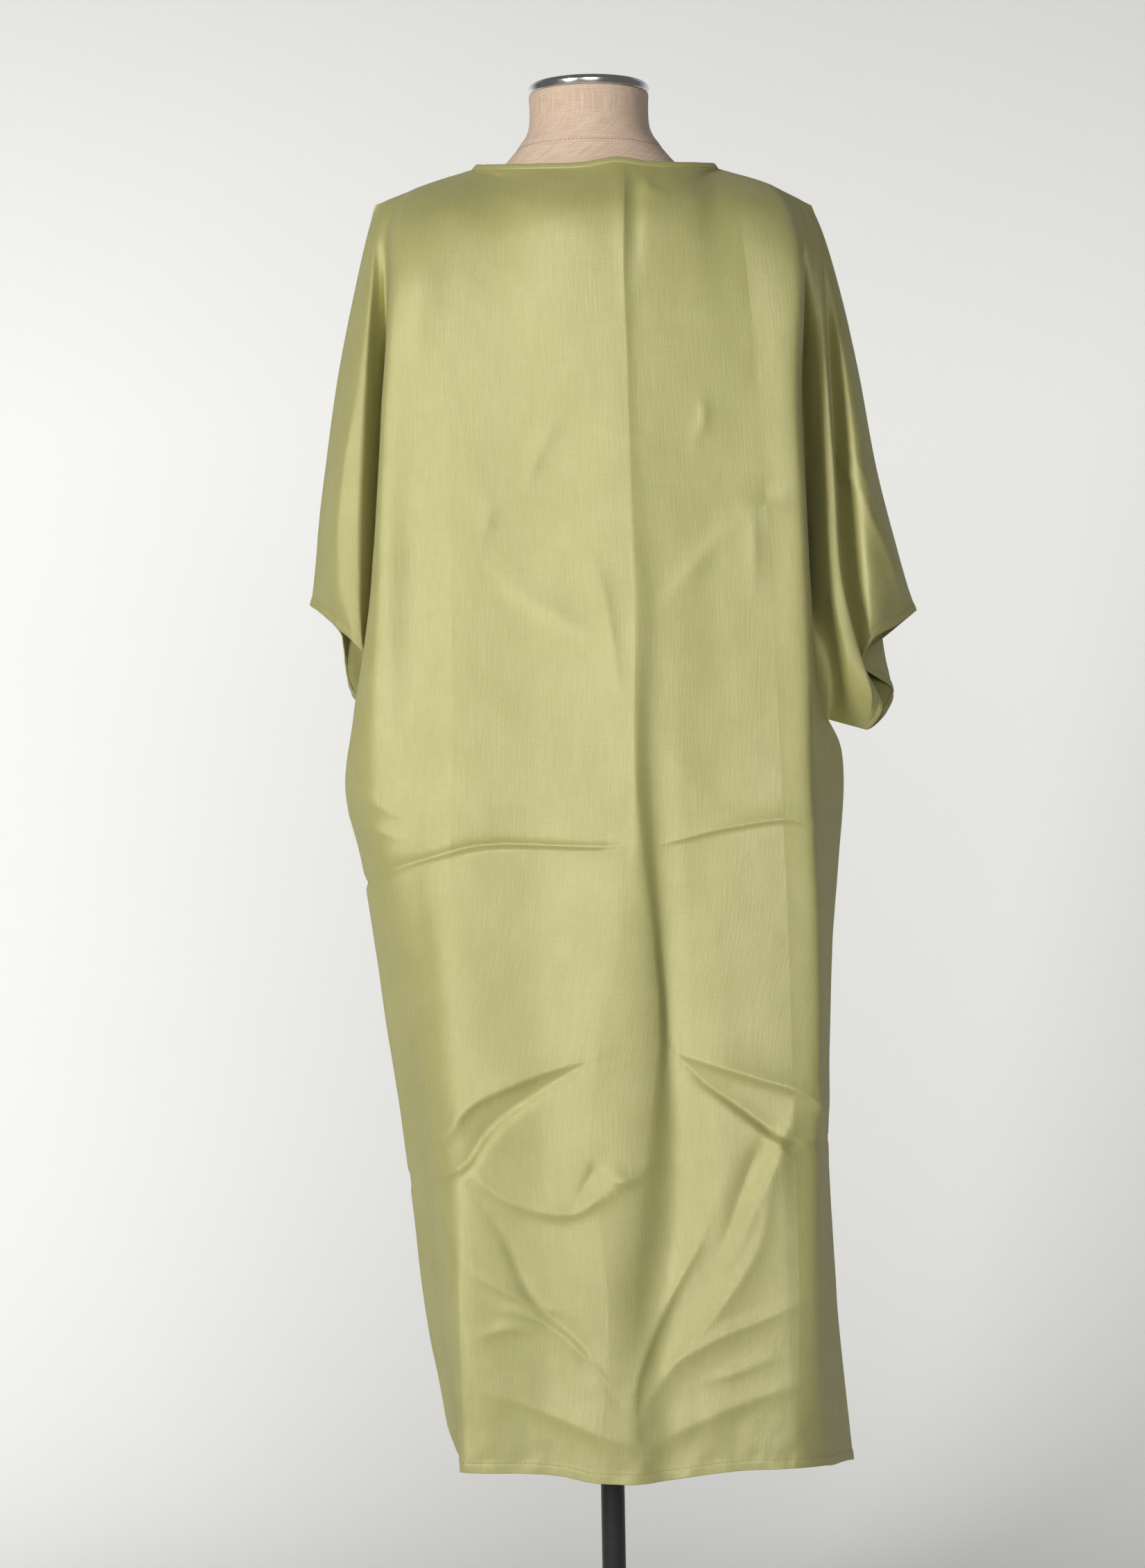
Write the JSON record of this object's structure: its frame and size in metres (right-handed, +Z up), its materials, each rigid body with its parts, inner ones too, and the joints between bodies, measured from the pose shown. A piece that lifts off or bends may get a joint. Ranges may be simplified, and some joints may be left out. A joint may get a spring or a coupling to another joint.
{
  "type": "midi dress on a dress form and pole stand",
  "caption": "Loose midi dress with short batwing sleeves and a wide round neck, worn by a limbless torso form that stands on a pole with a round base.",
  "frame": {"origin": "on the floor under the middle of the pole, at the centre of the base's underside", "axes": "+Z up along the pole; -Y out of the back of the dress, which is the side in the picture, +Y out of its front; +X to the right as seen from the back"},
  "size_m": [0.561, 0.36, 1.5688],
  "materials": {
    "sage_satin": "fine twill-faced satin, soft sheen",
    "satin_binding": "the same satin, folded and topstitched",
    "natural_linen": "plain linen cover, matte",
    "chrome": "polished",
    "black_steel": "black powder coat, semi-matte"
  },
  "bodies": {
    "root": {"back_panel": "sage_satin", "front_panel": "sage_satin", "neck_binding": "satin_binding", "dress_form": "natural_linen", "neck_cap": "chrome", "pole": "black_steel", "base": "black_steel"}
  },
  "joints": []
}
